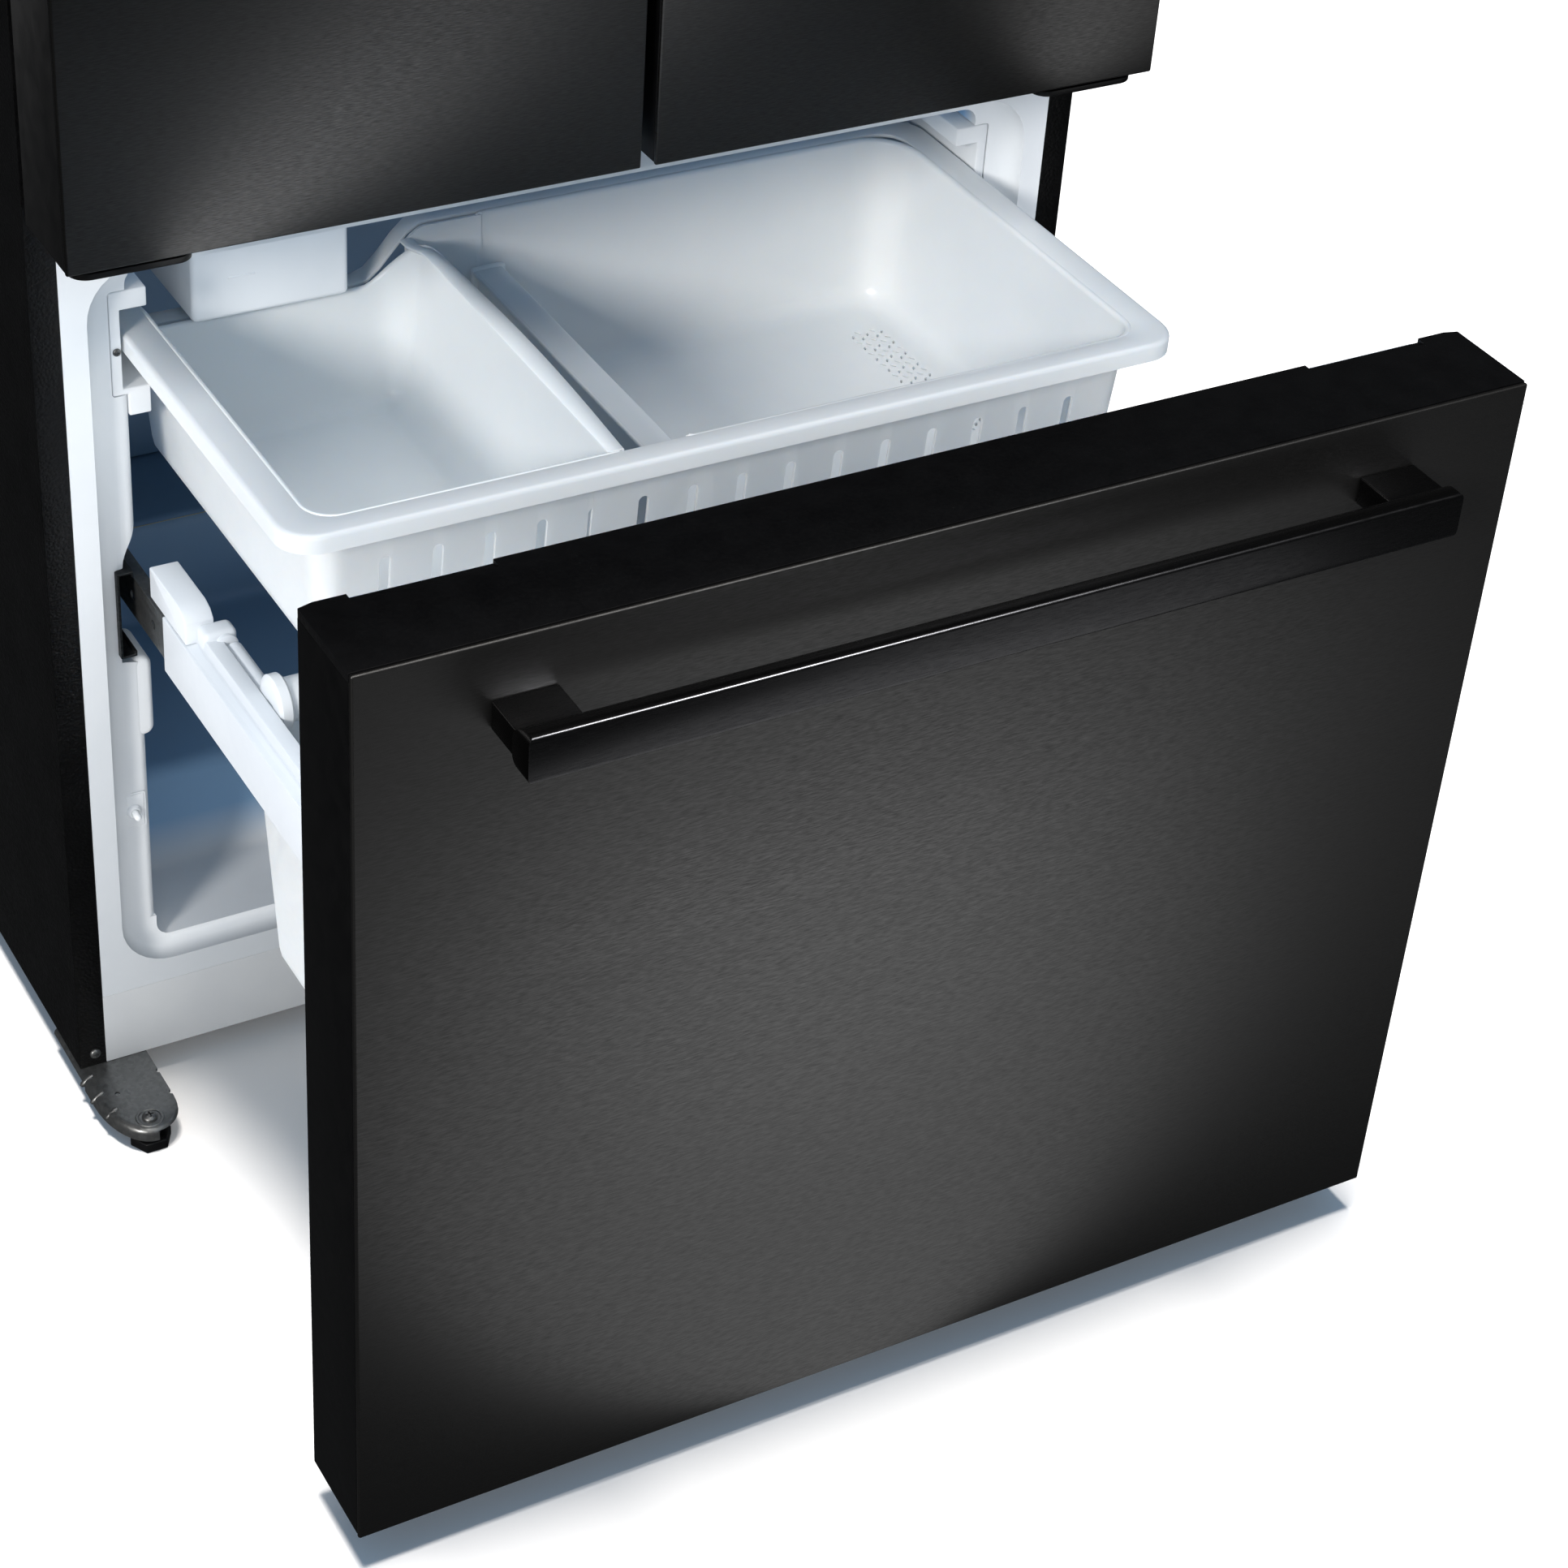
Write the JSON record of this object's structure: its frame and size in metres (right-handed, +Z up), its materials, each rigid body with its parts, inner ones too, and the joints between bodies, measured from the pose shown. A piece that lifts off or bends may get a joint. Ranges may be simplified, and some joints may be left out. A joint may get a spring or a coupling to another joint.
{
  "type": "french door refrigerator",
  "caption": "Black-stainless refrigerator with two side-hinged upper doors and a bottom freezer drawer drawn fully open, its sliding basket and deep bin in view.",
  "frame": {"origin": "on the floor, midway between the sides, at the plane of the cabinet's front flange; with the drawer drawn fully open this is the middle of the whole length", "axes": "+Z up, +Y from the front into the cabinet, +X to the viewer's right"},
  "size_m": [0.908, 1.286, 1.7698],
  "materials": {
    "black_stainless": "fine non-directional brushed grain, dark",
    "black_paint": "satin",
    "textured_black_paint": "leather-grain texture",
    "black_plastic": "satin",
    "white_plastic": "satin",
    "white_paint": "satin",
    "milky_plastic": "translucent white",
    "galvanised": "spangled zinc",
    "dark_steel": "oiled dark",
    "white_rubber": "matte",
    "clear_glass": "polished",
    "foam": "matte",
    "coil_aluminium": "mill finish"
  },
  "bodies": {
    "cabinet": {"cabinet_shell": "textured_black_paint", "back_panel": "galvanised", "machine_cover": "black_paint", "cabinet_foam": "foam", "fridge_liner": "white_plastic", "freezer_liner": "white_plastic", "centre_rail": "white_paint", "lower_front_rail": "white_paint", "base_pan": "galvanised", "ice_maker": "white_plastic", "drawer_switch_housing": "white_plastic", "evaporator_cover": "white_plastic", "evaporator": "coil_aluminium", "compressor": "black_paint", "condenser": "dark_steel", "lower_shelf": "clear_glass", "upper_shelf": "clear_glass", "crisper_cover": "clear_glass", "foot_bracket_left": "galvanised", "foot_bracket_right": "galvanised", "middle_hinge_left": "black_paint", "middle_hinge_right": "black_paint", "top_hinge_left": "black_paint", "top_hinge_right": "black_paint", "basket_guide_left": "white_plastic", "basket_guide_right": "white_plastic", "cabinet_slide_left": "dark_steel", "cabinet_slide_right": "dark_steel", "crisper_left": "milky_plastic", "crisper_right": "milky_plastic"},
    "freezer_drawer": {"drawer_skin": "black_stainless", "drawer_cap": "black_plastic", "drawer_liner": "white_plastic", "drawer_gasket": "white_rubber", "drawer_handle": "black_stainless", "drawer_arm_left": "white_paint", "drawer_arm_right": "white_paint", "cross_brace": "white_plastic", "lower_bin": "milky_plastic"},
    "basket": {"upper_basket": "milky_plastic"},
    "middle_slide_left": {"middle_slide_left": "galvanised"},
    "middle_slide_right": {"middle_slide_right": "galvanised"},
    "flip_mullion": {"flip_mullion": "white_plastic"},
    "drawer_switch_pin": {"drawer_switch_pin": "white_plastic"},
    "evaporator_fan": {"evaporator_fan": "black_plastic"},
    "condenser_fan": {"condenser_fan": "black_plastic"},
    "door_left": {"door_skin_left": "black_stainless", "door_liner_left": "white_plastic", "door_gasket_left": "white_rubber", "door_bin_left": "milky_plastic", "door_handle_left": "black_stainless"},
    "levelling_foot_left": {"levelling_foot_left": "black_plastic"},
    "rear_roller_left": {"rear_roller_left": "black_plastic"},
    "door_right": {"door_skin_right": "black_stainless", "door_liner_right": "white_plastic", "door_gasket_right": "white_rubber", "door_bin_right": "milky_plastic", "door_handle_right": "black_stainless"},
    "levelling_foot_right": {"levelling_foot_right": "black_plastic"},
    "rear_roller_right": {"rear_roller_right": "black_plastic"}
  },
  "joints": [
    {"name": "left_door_hinge", "type": "hinge", "parent": "cabinet", "child": "door_left", "pos_m": [-0.43, -0.056, 1.3], "axis": [0, 0, -1], "range_deg": [0, 130]},
    {"name": "right_door_hinge", "type": "hinge", "parent": "cabinet", "child": "door_right", "pos_m": [0.43, -0.056, 1.3], "axis": [0, 0, 1], "range_deg": [0, 130]},
    {"name": "flip_mullion_hinge", "type": "hinge", "parent": "door_left", "child": "flip_mullion", "pos_m": [-0.04, 0.002, 1.284], "axis": [0, 0, -1], "range_deg": [0, 90]},
    {"name": "freezer_drawer_slide", "type": "slide", "parent": "cabinet", "child": "freezer_drawer", "axis": [0, 1, 0], "range_m": [0, 0.488]},
    {"name": "middle_slide_left_travel", "type": "slide", "parent": "cabinet", "child": "middle_slide_left", "axis": [0, 1, 0], "range_m": [0, 0.244]},
    {"name": "middle_slide_right_travel", "type": "slide", "parent": "cabinet", "child": "middle_slide_right", "axis": [0, 1, 0], "range_m": [0, 0.244]},
    {"name": "basket_slide", "type": "slide", "parent": "cabinet", "child": "basket", "axis": [0, 1, 0], "range_m": [0, 0.298]},
    {"name": "drawer_switch_press", "type": "slide", "parent": "cabinet", "child": "drawer_switch_pin", "axis": [0, 1, 0], "range_m": [0, 0.006], "stiffness_N_per_m": 150},
    {"name": "evaporator_fan_spin", "type": "hinge", "parent": "cabinet", "child": "evaporator_fan", "pos_m": [0, 0.509, 0.665], "axis": [0, 1, 0], "continuous": true},
    {"name": "condenser_fan_spin", "type": "hinge", "parent": "cabinet", "child": "condenser_fan", "pos_m": [-0.07, 0.532, 0.15], "axis": [1, 0, 0], "continuous": true},
    {"name": "levelling_foot_left_turn", "type": "hinge", "parent": "cabinet", "child": "levelling_foot_left", "pos_m": [-0.421, -0.081, 0.01], "axis": [0, 0, 1], "continuous": true},
    {"name": "rear_roller_left_spin", "type": "hinge", "parent": "cabinet", "child": "rear_roller_left", "pos_m": [-0.405, 0.6, 0.02], "axis": [1, 0, 0], "continuous": true},
    {"name": "levelling_foot_right_turn", "type": "hinge", "parent": "cabinet", "child": "levelling_foot_right", "pos_m": [0.421, -0.081, 0.01], "axis": [0, 0, 1], "continuous": true},
    {"name": "rear_roller_right_spin", "type": "hinge", "parent": "cabinet", "child": "rear_roller_right", "pos_m": [0.405, 0.6, 0.02], "axis": [1, 0, 0], "continuous": true}
  ],
  "couplings": [
    {"joint": "middle_slide_left_travel", "follows": "freezer_drawer_slide", "ratio": 0.5},
    {"joint": "middle_slide_right_travel", "follows": "freezer_drawer_slide", "ratio": 0.5},
    {"joint": "basket_slide", "follows": "freezer_drawer_slide", "ratio": 0.61}
  ]
}
